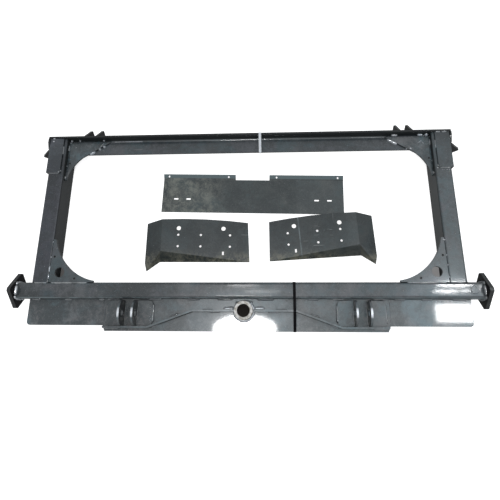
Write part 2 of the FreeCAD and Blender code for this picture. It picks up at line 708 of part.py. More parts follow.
# A loose tray: a flat panel with a tapering flange along its near edge and a bent wing at its outer end.
# It lies with the free end of the panel, the foot of the flange and the wing's edge on the floor.
# Distances run from the fold corner: along the panel, and away from the near edge.
def tray_shape():
    thick = value("tray_thickness")
    length = value("tray_length")
    depth = value("tray_depth")
    height = value("tray_height")
    reach = value("tray_flange_reach")
    wing = value("tray_wing_reach")
    floor = thick
    slope = (height - floor) / length

    def on_panel(along, away):
        return FreeCAD.Vector(along, away, height - slope * along)

    far_edge = depth - value("tray_wing_cut") + value("tray_bow") / 2
    corner = on_panel(0, 0)
    near_end = on_panel(length, -reach)
    bow = [on_panel(length * share, far_edge + value("tray_bow") * (1 - (2 * share - BOW_CREST) ** 2))
           for share in BOW_SHARES]
    wing_far = FreeCAD.Vector(-wing, far_edge - value("tray_bow"), height - value("tray_wing_drop"))
    wing_near = FreeCAD.Vector(-wing, -value("tray_wing_cut"), height - value("tray_wing_drop"))
    tip = FreeCAD.Vector(-wing + value("tray_bow"), -value("tray_tip_reach"), floor)
    foot = FreeCAD.Vector(-value("tray_bow"), -reach, floor)
    foot_end = FreeCAD.Vector(length, -reach - value("tray_thickness") / 2, floor)
    rim = [near_end] + bow + [wing_far, wing_near, tip, foot, foot_end]
    patches = [[corner, rim[index], rim[index + 1]] for index in range(len(rim) - 1)]
    patches.append([corner, rim[-1], rim[0]])
    drop = FreeCAD.Vector(0, 0, -thick)
    faces = []
    for patch in patches:
        faces.append(Part.Face(Part.makePolygon(patch + patch[:1])))
        under = [point + drop for point in patch]
        faces.append(Part.Face(Part.makePolygon(under + under[:1])))
    for start, end in zip(rim, rim[1:] + rim[:1]):
        faces.append(Part.Face(Part.makePolygon([start, end, end + drop, start + drop, start])))
    return Part.makeSolid(Part.makeShell(faces))


# The tray's round holes and its slot, cut straight down through the panel
def tray_cutters():
    floor = -value("tray_height")
    tall = 3 * value("tray_height")
    cutters = []
    for along in ("tray_first_column", "tray_second_column", "tray_third_column"):
        for away in ("tray_low_row", "tray_high_row"):
            spot = FreeCAD.Vector(value(along), value(away), floor)
            cutters.append(Part.makeCylinder(value("tray_small_hole"), tall, spot))
    for along in ("tray_large_first", "tray_large_second"):
        spot = FreeCAD.Vector(value(along), value("tray_large_row"), floor)
        cutters.append(Part.makeCylinder(value("tray_large_hole"), tall, spot))
    wide = value("tray_slot_width")
    deep = value("tray_slot_length")
    corner = FreeCAD.Vector(value("tray_large_second") - wide / 2, -value("tray_slot_drop") - deep / 2, floor)
    cutters.append(Part.makeBox(wide, deep, tall, corner))
    return cutters


tray = tray_shape()
for cutter in tray_cutters():
    tray = tray.cut(cutter)
if tray.Volume < 0:
    tray.reverse()
for side, hand in ((-1, "left"), (1, "right")):
    bracket = doc.addObject("Part::Feature", "bracket_" + hand)
    bracket.Label = "bracket_" + hand
    if side < 0:
        bracket.Shape = tray
    else:
        bracket.Shape = tray.mirror(FreeCAD.Vector(0, 0, 0), FreeCAD.Vector(1, 0, 0))
        bracket.Placement.Rotation = FreeCAD.Rotation(FreeCAD.Vector(0, 0, 1), value("tray_right_turn"))
    place(bracket, "tray_%s_x" % hand, "tray_%s_place" % hand)
    nodes.append(bracket)

doc.recompute()

# Every object and every piece is checked before anything is written
for item in doc.Objects:
    if "Invalid" in item.State or "Error" in item.State:
        raise ValueError("%s did not rebuild: %s" % (item.Name, item.State))
for node in nodes:
    if node.Shape.isNull() or not node.Shape.isValid() or node.Shape.Volume <= 0:
        raise ValueError("%s has no sound shape" % node.Label)

os.makedirs("parts", exist_ok=True)
for node in nodes:
    node.Shape.exportStep("parts/%s.step" % node.Label)
print("pieces:", len(nodes))
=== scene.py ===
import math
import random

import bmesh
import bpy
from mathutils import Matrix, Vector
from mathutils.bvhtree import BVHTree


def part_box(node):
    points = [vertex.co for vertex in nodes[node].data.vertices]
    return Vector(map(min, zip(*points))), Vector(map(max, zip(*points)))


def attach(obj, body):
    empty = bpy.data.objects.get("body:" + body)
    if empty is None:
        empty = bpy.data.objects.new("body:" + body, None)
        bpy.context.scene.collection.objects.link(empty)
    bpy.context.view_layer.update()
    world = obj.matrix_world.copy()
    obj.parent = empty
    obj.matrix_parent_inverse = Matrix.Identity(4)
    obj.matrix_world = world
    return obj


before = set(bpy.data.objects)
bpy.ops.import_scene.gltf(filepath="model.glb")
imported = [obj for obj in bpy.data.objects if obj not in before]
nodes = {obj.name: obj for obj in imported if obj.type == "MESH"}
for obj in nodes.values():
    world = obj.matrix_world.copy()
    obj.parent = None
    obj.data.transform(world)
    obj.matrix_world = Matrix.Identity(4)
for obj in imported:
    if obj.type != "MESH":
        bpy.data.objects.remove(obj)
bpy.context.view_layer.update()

# %% [markdown]
# # A welded quick attach frame on a pale floor
# The steel parts arrive from the CAD model with the right shapes and places. This lesson adds what CAD leaves
# out: gloss charcoal paint with dust and scratches, painted highlights and shade, the weld beads that hold the
# plates together, the small drops of spatter around them, the camera and the light. Every length is in metres, in
# the same frame as the CAD model: X runs along the beam, Y from the apron to the lipped rail, Z up from the floor.


# %% [markdown]
# ## Where things are
# The plates were drawn from the beam's axis, so it is easier to name a place by its distance from that axis.
# A small helper turns such a place, in millimetres, into the model's frame. The faces that the welds meet get
# names, so that a bead later says which faces it joins.

# %% Places in millimetres from the beam's axis
beam_low, beam_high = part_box("bottom_beam")
BEAM_Y = (beam_low.y + beam_high.y) / 2
MM = 1000             # millimetres in a metre


def at(x, y, z):
    return Vector((x / MM, y / MM + BEAM_Y, z / MM))


# heights of upper faces
FACE = 101.6          # the uprights and the beam
LEG = 70.6            # the rail's flat leg
GUSSET = 78.6         # the upper gussets, which lie on that leg
DOUBLER = 107.6       # the doublers over the far corners
APRON = 58.1          # the apron
CENTRE = 68.1         # the centre plate
# upright faces
LIP = 671.75          # the near face of the rail's lip
RAIL_BACK = 679.75    # its far face
BEAM_SIDE = 31.75     # the beam's near and far walls
UPRIGHT_IN = 803      # the uprights' inner walls
UPRIGHT_OUT = 873     # and their outer walls
DOUBLER_OUT = 879     # the doublers' outer walls
FLANGE_IN = 935       # the end flanges' inner faces
# the pivot boss
BOSS_Y = -79
BOSS_RADIUS = 0.0365
print("beam axis at y =", round(BEAM_Y, 5))

# %% [markdown]
# ## Camera
# The photograph looks steeply down on the frame from the apron's side. The lens, the height and the tilt come
# from fitting the frame's corners to the photograph. The picture's optical axis lies above its middle, so the
# lens is shifted a little.

# %% The camera
PICTURE = 500         # the photograph's width in pixels
FOCAL = 435.3         # the focal length in pixels
AXIS_SHIFT = 50       # how far the optical axis lies above the middle, in pixels
SENSOR = 36           # the sensor's width in millimetres
camera = bpy.data.objects.new("camera", bpy.data.cameras.new("camera"))
bpy.context.scene.collection.objects.link(camera)
camera.location = at(121.6, -161.4, 1856.0)
camera.rotation_euler = (0.2961, 0.0547, 0.0053)
camera.data.sensor_width = SENSOR
camera.data.lens = FOCAL / PICTURE * SENSOR
camera.data.shift_y = -AXIS_SHIFT / PICTURE
bpy.context.scene.camera = camera
print("lens:", round(camera.data.lens, 2), "mm")


# %% [markdown]
# ## Node helpers
# A material is a small network of nodes. These helpers keep the networks short to write: whatever is handed to
# a socket is either linked, when it comes from another node, or set as its value. An effect that several
# materials share is a node group, and a group gives out only masks and bump heights.

# %% Helpers for nodes
def feed(tree, socket, source):
    if isinstance(source, bpy.types.NodeSocket):
        tree.links.new(source, socket)
    else:
        socket.default_value = source


def new_tree_node(tree, kind, inputs=None, **settings):
    node = tree.nodes.new(kind)
    for name, setting in settings.items():
        setattr(node, name, setting)
    for key, source in (inputs or {}).items():
        feed(tree, node.inputs[key], source)
    return node


def noise(tree, where, scale, detail=3.0, rough=0.55, distortion=0.0):
    node = new_tree_node(tree, "ShaderNodeTexNoise", {"Vector": where, "Scale": scale, "Detail": detail,
                                                      "Roughness": rough, "Distortion": distortion})
    return node.outputs["Fac"]


def spread(tree, source, low, high, to_low=0.0, to_high=1.0, smooth=True):
    node = new_tree_node(tree, "ShaderNodeMapRange",
                         {"Value": source, "From Min": low, "From Max": high, "To Min": to_low, "To Max": to_high},
                         interpolation_type="SMOOTHSTEP" if smooth else "LINEAR")
    return node.outputs["Result"]


def opposite(tree, mask):
    return spread(tree, mask, 0.0, 1.0, 1.0, 0.0)


def math_node(tree, operation, first, second=0.0):
    return new_tree_node(tree, "ShaderNodeMath", {0: first, 1: second}, operation=operation).outputs[0]


def times(tree, first, second):
    return math_node(tree, "MULTIPLY", first, second)


def plus(tree, first, second):
    return math_node(tree, "ADD", first, second)


def minus(tree, first, second):
    return math_node(tree, "SUBTRACT", first, second)


def larger(tree, first, second):
    return math_node(tree, "MAXIMUM", first, second)


def mix(tree, share, first, second):
    node = new_tree_node(tree, "ShaderNodeMix", data_type="RGBA")
    for name, source in (("Factor_Float", share), ("A_Color", first), ("B_Color", second)):
        socket = next(s for s in node.inputs if s.identifier == name)
        feed(tree, socket, (*source, 1) if isinstance(source, tuple) else source)
    return next(s for s in node.outputs if s.identifier == "Result_Color")


def axes_of(tree, place):
    return new_tree_node(tree, "ShaderNodeSeparateXYZ", {"Vector": place}).outputs


def start_material(name):
    material = bpy.data.materials.new(name)
    material.use_nodes = True
    return material, material.node_tree


def group(name, outputs, build):
    tree = bpy.data.node_groups.new(name, "ShaderNodeTree")
    tree.interface.new_socket("Place", in_out="INPUT", socket_type="NodeSocketVector")
    for output in outputs:
        tree.interface.new_socket(output, in_out="OUTPUT", socket_type="NodeSocketFloat")
    entry = tree.nodes.new("NodeGroupInput")
    leave = tree.nodes.new("NodeGroupOutput")
    for output, source in build(tree, entry.outputs["Place"]).items():
        tree.links.new(source, leave.inputs[output])
    return tree


def use(tree, shared, place):
    node = new_tree_node(tree, "ShaderNodeGroup")
    node.node_tree = shared
    tree.links.new(place, node.inputs["Place"])
    return node.outputs


print("helpers for nodes are ready, and no material uses them yet:", len(bpy.data.node_groups), "groups")


# %% [markdown]
# ## What weathers the paint
# Four things show on the real frame: soft clouds where the wet paint flowed thick and thin, a film of pale
# dust on whatever faces up, short scratches from handling, and tiny drops of weld metal under the paint. Noise
# makes the clouds and the dust, noise stretched in three directions makes the scratches, and a few cells of a
# Voronoi pattern make the drops. Every one of them is a mask, so the paint recipe can weigh it as it likes.

# %% Shared effects
def build_flow(tree, place):
    broad = noise(tree, place, 3.2, detail=3.0, rough=0.6, distortion=0.4)
    middle = noise(tree, place, 14.0, detail=4.0, rough=0.6)
    small = noise(tree, place, 60.0, detail=4.0, rough=0.7, distortion=0.6)
    fine = noise(tree, place, 160.0, detail=2.0, rough=0.5)
    cool = noise(tree, place, 8.0, detail=3.0, rough=0.6, distortion=0.3)
    cloud = plus(tree, times(tree, broad, 0.35), times(tree, middle, 0.3))
    cloud = plus(tree, cloud, times(tree, small, 0.35))
    height = plus(tree, middle, times(tree, fine, 0.12))
    return {"Cloud": spread(tree, cloud, 0.43, 0.59), "Height": height, "Hue": spread(tree, cool, 0.42, 0.6)}


def build_dust(tree, place):
    normal = new_tree_node(tree, "ShaderNodeNewGeometry").outputs["Normal"]
    facing = spread(tree, axes_of(tree, normal)["Z"], 0.3, 0.95)
    patches = spread(tree, noise(tree, place, 7.0, detail=5.0, rough=0.65, distortion=0.6), 0.42, 0.7)
    small_specks = spread(tree, noise(tree, place, 420.0, detail=1.0, rough=0.5), 0.66, 0.74)
    large_specks = spread(tree, noise(tree, place, 150.0, detail=2.0, rough=0.6), 0.66, 0.76)
    film = plus(tree, times(tree, patches, 0.55), 0.25)
    return {"Film": times(tree, facing, film), "Facing": facing,
            "Specks": times(tree, facing, larger(tree, small_specks, large_specks))}


def build_scratches(tree, place):
    masks = []
    for turn, stretch in ((0.5, (9.0, 160.0, 60.0)), (-0.9, (130.0, 11.0, 60.0)), (1.3, (15.0, 220.0, 60.0))):
        turned = new_tree_node(tree, "ShaderNodeMapping", {"Vector": place, "Rotation": (0.0, 0.0, turn),
                                                          "Scale": stretch}).outputs["Vector"]
        masks.append(spread(tree, noise(tree, turned, 1.0, detail=1.5, rough=0.5), 0.735, 0.765))
    handled = spread(tree, noise(tree, place, 5.0, detail=2.0), 0.48, 0.62)
    return {"Marks": times(tree, larger(tree, larger(tree, masks[0], masks[1]), masks[2]), handled)}


def build_spatter(tree, place):
    cells = new_tree_node(tree, "ShaderNodeTexVoronoi", {"Vector": place, "Scale": 70.0, "Randomness": 1.0})
    drops = spread(tree, cells.outputs["Distance"], 0.1, 0.16, 1.0, 0.0)
    chance = new_tree_node(tree, "ShaderNodeSeparateColor", {"Color": cells.outputs["Color"]}).outputs["Red"]
    return {"Drops": times(tree, drops, spread(tree, chance, 0.83, 0.86))}


flow = group("paint_flow", ("Cloud", "Height", "Hue"), build_flow)
dust = group("dust_film", ("Film", "Specks", "Facing"), build_dust)
scratches = group("handling_scratches", ("Marks",), build_scratches)
spatter = group("weld_spatter", ("Drops",), build_spatter)
print("shared effects:", [tree.name for tree in bpy.data.node_groups])


# %% [markdown]
# ## Paint
# One recipe makes every painted finish. The colour drifts between tones with the flow of the paint. Faces that
# look sideways stay clean and take a colour of their own, painted light and shade; faces that look up carry the
# dust. The roughness rises with the dust, and the bump holds the orange peel, the spatter and the scratches. Three
# extras are there for the pieces that need them: a torn patch of wear at one end, a band of another colour above a
# height, which paints shade on the rail's lip and a glint on the clevis ears, and one long painted highlight line.

# %% The paint recipe
SPECK, HIGHLIGHT_LINE_COLOUR, SCRATCHED = (0.3, 0.31, 0.31), (0.13, 0.16, 0.17), (0.24, 0.25, 0.25)
DUST_ROUGH, SIDE_ROUGH, SCRATCH_ROUGH = 0.45, 0.2, 0.2    # what each adds to the roughness
DROP_HEIGHT, SCRATCH_DEPTH = 0.9, 0.15                    # as shares of the bump's distance
BAND_FADE = 0.003                                         # metres over which a band begins
COAT_ROUGH = 0.06


def torn_patch(tree, place, axes, axis, begin, stop, amount):
    torn = spread(tree, noise(tree, place, 26.0, detail=8.0, rough=0.8, distortion=0.3), 0.40, 0.64, 0.0, amount)
    return times(tree, spread(tree, axes[axis], begin, stop, 1.0, 0.0), torn)


# a thin pale line along a given track: a painted highlight
def painted_highlight_line(tree, place, axes, start, end):
    way = (end - start).normalized()
    shift = start.x * way.y - start.y * way.x
    side = minus(tree, times(tree, axes["X"], way.y), times(tree, axes["Y"], way.x))
    away = math_node(tree, "ABSOLUTE", minus(tree, side, shift))
    broken = spread(tree, noise(tree, place, 30.0), 0.35, 0.6, 0.3, 0.9)
    return times(tree, spread(tree, away, 0.001, 0.0032, 1.0, 0.0), broken)


def paint(name, tones, rough_base, dusty, lacquer=0.55, drops=1.0, marks=1.0, peel=0.25, round_edges=0.0012,
          shine=0.3, metal=0.0, patch=None, band=None, line=None, speckled=0.7):
    dark, light, tint, dust_colour, side_shading_colour = tones
    material, tree = start_material(name)
    tree.nodes.clear()
    place = new_tree_node(tree, "ShaderNodeTexCoord").outputs["Object"]
    axes = axes_of(tree, place)
    flowing, dusting = use(tree, flow, place), use(tree, dust, place)
    scratched, spattered = use(tree, scratches, place)["Marks"], use(tree, spatter, place)["Drops"]
    film = times(tree, dusting["Film"], dusty)
    # the colour
    colour = mix(tree, flowing["Cloud"], dark, mix(tree, flowing["Hue"], light, tint))
    # faces that look sideways take the side colour: painted light and shade, mostly darker than the paint
    colour = mix(tree, dusting["Facing"], side_shading_colour, colour)
    colour = mix(tree, film, colour, dust_colour)
    if patch:
        *where, patch_colour = patch
        colour = mix(tree, torn_patch(tree, place, axes, *where), colour, patch_colour)
    colour = mix(tree, times(tree, dusting["Specks"], speckled * dusty), colour, SPECK)
    # the painted highlight line, where a piece has one
    if line:
        colour = mix(tree, painted_highlight_line(tree, place, axes, *line), colour, HIGHLIGHT_LINE_COLOUR)
    colour = mix(tree, times(tree, scratched, 0.5 * marks), colour, SCRATCHED)
    # the roughness and the bump
    rough = plus(tree, times(tree, film, DUST_ROUGH), rough_base)
    rough = plus(tree, rough, spread(tree, dusting["Facing"], 0.0, 1.0, SIDE_ROUGH, 0.0))
    rough = plus(tree, rough, times(tree, scratched, SCRATCH_ROUGH))
    height = plus(tree, times(tree, flowing["Height"], peel), times(tree, spattered, DROP_HEIGHT * drops))
    height = minus(tree, height, times(tree, scratched, SCRATCH_DEPTH))
    edge = new_tree_node(tree, "ShaderNodeBevel", {"Radius": round_edges}, samples=4)
    bump = new_tree_node(tree, "ShaderNodeBump", {"Strength": 0.35, "Distance": 0.001, "Height": height,
                                                  "Normal": edge.outputs["Normal"]})
    # the lacquer, which dust and scratches dull
    clean = minus(tree, dusting["Facing"], times(tree, film, 0.7))
    clean = minus(tree, clean, times(tree, scratched, 0.5))
    # the band paints shade on the rail's lip, a glint on the clevis ears' crests and the cover's paler tabs; its last
    # value is the band's metallic share
    if band:
        level, band_colour, bare = band
        above = times(tree, spread(tree, axes["Z"], level, level + BAND_FADE), dusting["Facing"])
        colour = mix(tree, above, colour, band_colour)
        metal = times(tree, above, bare)
        clean = minus(tree, clean, above)
    coat = spread(tree, clean, 0.0, 1.0, 0.0, lacquer, smooth=False)
    shader = new_tree_node(tree, "ShaderNodeBsdfPrincipled", {
        "Base Color": colour, "Metallic": metal, "Roughness": rough, "Normal": bump.outputs["Normal"],
        "Coat Weight": coat, "Coat Roughness": COAT_ROUGH, "Specular IOR Level": shine})
    new_tree_node(tree, "ShaderNodeOutputMaterial", {"Surface": shader.outputs["BSDF"]})
    return material


# %% [markdown]
# ## The finishes of the welded frame
# The same can of paint reads differently on every piece, because plates, tubes and lugs lie at other angles to
# the light. So each group of pieces has tones of its own, and some carry painted shade: the lugs and end ribs are
# darker, and the left upright and its doubler get shaded copies. A set of tones says in order: thick paint, thin
# paint, its cooler tint, the dust on it, and the painted light and shade of the faces that look sideways. After
# the tones come the roughness of clean paint and how much dust lies on it.

# %% Paint for tubes, plates and lugs
frame_tones = ((0.013, 0.020, 0.025), (0.050, 0.056, 0.068), (0.024, 0.050, 0.061),
               (0.12, 0.13, 0.135), (0.009, 0.012, 0.013))
beam_tones = ((0.006, 0.012, 0.016), (0.058, 0.060, 0.070), (0.020, 0.046, 0.060),
              (0.15, 0.16, 0.165), (0.048, 0.054, 0.058))
plate_tones = ((0.016, 0.026, 0.032), (0.114, 0.115, 0.122), (0.054, 0.094, 0.112),
               (0.15, 0.165, 0.17), (0.014, 0.017, 0.019))
flange_tones = ((0.009, 0.011, 0.012), (0.020, 0.021, 0.022), (0.016, 0.022, 0.024),
                (0.09, 0.09, 0.09), (0.004, 0.004, 0.005))
# painted shade: the lugs and end ribs are darker than the frame
lug_shaded_tones = ((0.008, 0.010, 0.010), (0.024, 0.025, 0.026), (0.016, 0.020, 0.021),
             (0.07, 0.07, 0.07), (0.008, 0.009, 0.009))
# painted shade: shaded copies of the frame's tones for the left upright and its doubler
shaded_tones = ((0.007, 0.011, 0.016), (0.031, 0.034, 0.047), (0.017, 0.028, 0.038),
                (0.09, 0.10, 0.11), (0.008, 0.010, 0.011))
doubler_shaded_tones = ((0.013, 0.019, 0.027), (0.052, 0.055, 0.072), (0.030, 0.046, 0.060),
                 (0.11, 0.12, 0.13), (0.008, 0.010, 0.011))
beam_corner_highlight = (at(-800, -29.5, 0), at(800, -29.5, 0))     # painted highlight along the beam's rounded near corner
lip_painted_shade = (0.1, (0.012, 0.014, 0.015), 0.0)             # painted shade: the lip's upward faces are darker than the leg
ear_crest_glint = (0.1355, (0.46, 0.48, 0.51), 0.7)             # painted glint: the clevis ears' crests are bright and partly metallic
frame_paint = paint("frame_paint", frame_tones, 0.3, 0.35)
beam_paint = paint("beam_paint", beam_tones, 0.28, 0.5, shine=0.22, round_edges=0.006, line=beam_corner_highlight)
rail_paint = paint("rail_paint", frame_tones, 0.3, 0.35, band=lip_painted_shade)
plate_paint = paint("plate_paint", plate_tones, 0.3, 0.45)
clevis_paint = paint("clevis_paint", plate_tones, 0.3, 0.45, band=ear_crest_glint)
flange_paint = paint("flange_paint", flange_tones, 0.4, 0.3, lacquer=0.3, shine=0.14)
lug_shaded_paint = paint("lug_shaded_paint", lug_shaded_tones, 0.45, 0.2, lacquer=0.2, shine=0.14)
shaded_paint = paint("shaded_paint", shaded_tones, 0.3, 0.3, lacquer=0.5, shine=0.24)
doubler_shaded_paint = paint("doubler_shaded_paint", doubler_shaded_tones, 0.3, 0.3, lacquer=0.5, shine=0.26)
print("finishes of the frame:", len(bpy.data.materials))

# %% [markdown]
# ## Welds and loose sheets
# The beads were painted over with the frame. They get a brighter paint with much orange peel and no spatter, more
# or less metallic: the brighter colour is a painted sheen on the rippled crests, and on some beads a painted glint.
# The three loose sheets are thinner and more handled: their paint is satin, and each is worn pale towards one end.

# %% Paint for beads and sheets
# bead paints, lighter than the frame's: a painted sheen, and in the last two a brighter painted sheen and glint
weld_tones = ((0.08, 0.088, 0.098), (0.30, 0.31, 0.32), (0.20, 0.23, 0.26), (0.3, 0.3, 0.29), (0.10, 0.11, 0.12))
glint_tones = ((0.30, 0.31, 0.33), (0.74, 0.75, 0.76), (0.60, 0.65, 0.70), (0.5, 0.5, 0.49), (0.34, 0.36, 0.38))
sheen_tones = ((0.16, 0.17, 0.18), (0.56, 0.57, 0.60), (0.38, 0.43, 0.49), (0.4, 0.4, 0.39), (0.22, 0.235, 0.26))
bead_look = {"lacquer": 1.0, "drops": 0.0, "peel": 0.8, "round_edges": 0.0004}
weld_paint = paint("weld_paint", weld_tones, 0.3, 0.4, **bead_look)
weld_painted_glint = paint("weld_painted_glint", glint_tones, 0.35, 0.2, metal=0.6, **bead_look)
weld_painted_sheen = paint("weld_painted_sheen", sheen_tones, 0.35, 0.2, metal=0.15, **bead_look)

cover_tones = ((0.012, 0.020, 0.024), (0.036, 0.044, 0.046), (0.024, 0.042, 0.048),
               (0.14, 0.15, 0.14), (0.010, 0.012, 0.012))
cover_wear = ("X", -0.22, -0.05, 0.8, (0.19, 0.197, 0.172))
cover_tabs = (0.005, (0.10, 0.135, 0.145), 0.0)           # the folded tabs are paler
cover_paint = paint("cover_paint", cover_tones, 0.35, 0.3, lacquer=0.4, drops=0.2, marks=1.6, shine=0.24,
                    patch=cover_wear, band=cover_tabs, speckled=0.8)
bracket_tones = ((0.007, 0.014, 0.017), (0.026, 0.034, 0.037), (0.016, 0.030, 0.035),
                 (0.10, 0.105, 0.10), (0.082, 0.079, 0.061))
bracket_look = {"lacquer": 0.35, "drops": 0.2, "marks": 1.4, "shine": 0.22, "speckled": 0.6,
                "patch": ("Y", -0.165, -0.10, 0.9, (0.19, 0.18, 0.135))}
bend_highlight = (at(221, 378, 0), at(231, 257, 0))                 # painted highlight along the right bracket's bend
bracket_left_paint = paint("bracket_left_paint", bracket_tones, 0.35, 0.22, **bracket_look)
bracket_right_paint = paint("bracket_right_paint", bracket_tones, 0.35, 0.22, line=bend_highlight, **bracket_look)
print("finishes with beads and sheets:", len(bpy.data.materials))

# %% [markdown]
# ## Who wears which finish
# A piece is found by the start of its name. The list begins with every piece of the frame and then names the
# exceptions, so a later line wins over an earlier one.

# %% Painting the pieces
def paint_nodes(material, *names):
    for name in names:
        mesh = nodes[name].data
        mesh.materials.clear()
        mesh.materials.append(material)


sheet_paints = {"cover_plate": cover_paint, "bracket_left": bracket_left_paint, "bracket_right": bracket_right_paint}
frame_names = [name for name in nodes if name not in (*sheet_paints, "strap_dark", "strap_pale", "pivot_boss")]
for finish, starts in ((frame_paint, ("",)), (plate_paint, ("apron", "center", "stiffener", "gusset_top")),
                       (clevis_paint, ("clevis",)), (rail_paint, ("top_rail",)), (beam_paint, ("bottom_beam",)),
                       (flange_paint, ("end_flange",)), (lug_shaded_paint, ("rear_lug", "side_lug", "lip_end_rib")),
                       (shaded_paint, ("upright_left",)), (doubler_shaded_paint, ("corner_doubler_left",))):
    paint_nodes(finish, *[name for name in frame_names if name.startswith(starts)])
for name, finish in sheet_paints.items():
    paint_nodes(finish, name)
print("painted nodes:", len(frame_names) + len(sheet_paints))


# %% [markdown]
# ## The boss and the straps
# The boss was turned from thick tube. Its upper rim is bare steel with fine turning marks and rust, its bore is
# dark brown, and paint covers the outside. The distance from the boss's axis tells them apart. The
# straps are plastic binding: one matt black, one milky, both with a pressed pattern of crossing waves.

# %% Boss, bore and strap finishes
RIM_LOW, RIM_HIGH = 0.1185, 0.1195        # the rim begins between these heights
BORE_OUT, BORE_IN = 0.0262, 0.0255        # the bore's colour begins between these radii
TURNING = 9000.0                          # radians of turning marks in a metre


def boss_steel():
    material, tree = start_material("boss_steel")
    shader = tree.nodes["Principled BSDF"]
    place = new_tree_node(tree, "ShaderNodeTexCoord").outputs["Object"]
    centre = at(0, BOSS_Y, 0)
    moved = new_tree_node(tree, "ShaderNodeVectorMath", {0: place, 1: (centre.x, centre.y, 0)}, operation="SUBTRACT")
    parts = axes_of(tree, moved.outputs[0])
    across = plus(tree, math_node(tree, "POWER", parts["X"], 2.0), math_node(tree, "POWER", parts["Y"], 2.0))
    radius = math_node(tree, "SQRT", across)
    rim = spread(tree, parts["Z"], RIM_LOW, RIM_HIGH)
    inner = spread(tree, radius, BORE_OUT, BORE_IN)
    stain = spread(tree, noise(tree, place, 90.0, detail=4.0, rough=0.65), 0.4, 0.66)
    bare = mix(tree, stain, (0.40, 0.39, 0.38), (0.22, 0.20, 0.17))
    bore = mix(tree, stain, (0.035, 0.027, 0.022), (0.016, 0.014, 0.013))
    outside = mix(tree, stain, (0.09, 0.10, 0.11), (0.2, 0.2, 0.2))
    colour = mix(tree, times(tree, inner, opposite(tree, rim)), mix(tree, rim, outside, bare), bore)
    tree.links.new(colour, shader.inputs["Base Color"])
    tree.links.new(times(tree, rim, 0.3), shader.inputs["Metallic"])
    rough = plus(tree, times(tree, stain, 0.2), 0.45)
    tree.links.new(plus(tree, rough, times(tree, inner, 0.3)), shader.inputs["Roughness"])
    shader.inputs["Specular IOR Level"].default_value = 0.2
    rings = math_node(tree, "SINE", times(tree, radius, TURNING))
    height = plus(tree, noise(tree, place, 500.0, detail=2.0), times(tree, rings, 0.3))
    edge = new_tree_node(tree, "ShaderNodeBevel", {"Radius": 0.002}, samples=4)
    bump = new_tree_node(tree, "ShaderNodeBump", {"Strength": 0.3, "Distance": 0.0006, "Height": height,
                                                  "Normal": edge.outputs["Normal"]})
    tree.links.new(bump.outputs["Normal"], shader.inputs["Normal"])
    return material


def strap_plastic(name, colour, second, rough, waves, shine):
    material, tree = start_material(name)
    shader = tree.nodes["Principled BSDF"]
    place = new_tree_node(tree, "ShaderNodeTexCoord").outputs["Object"]
    parts = axes_of(tree, place)
    along = plus(tree, parts["Y"], parts["Z"])
    first = math_node(tree, "SINE", times(tree, plus(tree, parts["X"], along), waves))
    other = math_node(tree, "SINE", times(tree, minus(tree, parts["X"], along), waves))
    smudge = noise(tree, place, 60.0)
    tree.links.new(mix(tree, smudge, colour, second), shader.inputs["Base Color"])
    tree.links.new(spread(tree, smudge, 0.3, 0.7, rough, rough + 0.2), shader.inputs["Roughness"])
    bump = new_tree_node(tree, "ShaderNodeBump", {"Strength": 0.4, "Distance": 0.0004,
                                                  "Height": times(tree, first, other)})
    tree.links.new(bump.outputs["Normal"], shader.inputs["Normal"])
    shader.inputs["Specular IOR Level"].default_value = shine
    return material


paint_nodes(boss_steel(), "pivot_boss")
paint_nodes(strap_plastic("dark_strap", (0.002, 0.002, 0.003), (0.004, 0.004, 0.005), 0.5, 600.0, 0.04), "strap_dark")
paint_nodes(strap_plastic("pale_strap", (0.72, 0.74, 0.78), (0.6, 0.62, 0.66), 0.3, 2400.0, 0.5), "strap_pale")
print("finishes:", len(bpy.data.materials))


# %% [markdown]
# ## Weld beads
# Where two plates meet, a bead of weld metal fills the corner. It is laid as a row of overlapping puddles, so
# its surface is rippled, its edges wander a little and both its ends are rounded. Each bead here follows a
# track: points along the corner, each with the two directions that lead away from the corner along the plates.
# The frame is nearly the same on both sides, so a seam is written for the right half and mirrored for the left.

# %% The bead maker
rng = random.Random(7)
TRACK_STEP = 0.0014                       # from one section of a bead to the next
PITCH, RIPPLE = 0.0042, 0.07              # from one puddle to the next, and how far each swells
SLOW_WANDER, SLOW_LENGTH = 0.10, 0.019    # how the width wanders, as a share, and over which length
FAST_WANDER, FAST_LENGTH = 0.05, 0.0073
PHASES = 6.28                             # the range in which a bead's ripples begin, in radians
SUNK = 0.0004                             # how deep a bead's root lies in the corner
SECTIONS = 7                              # points over a bead's back


def ring(centre, radius, first, last):
    count = max(int(abs(last - first) * radius / TRACK_STEP), 12)
    track = []
    for i in range(count + 1):
        angle = first + (last - first) * i / count
        way = Vector((math.cos(angle), math.sin(angle), 0))
        track.append((centre + way * radius, way, Vector((0, 0, 1))))
    return track


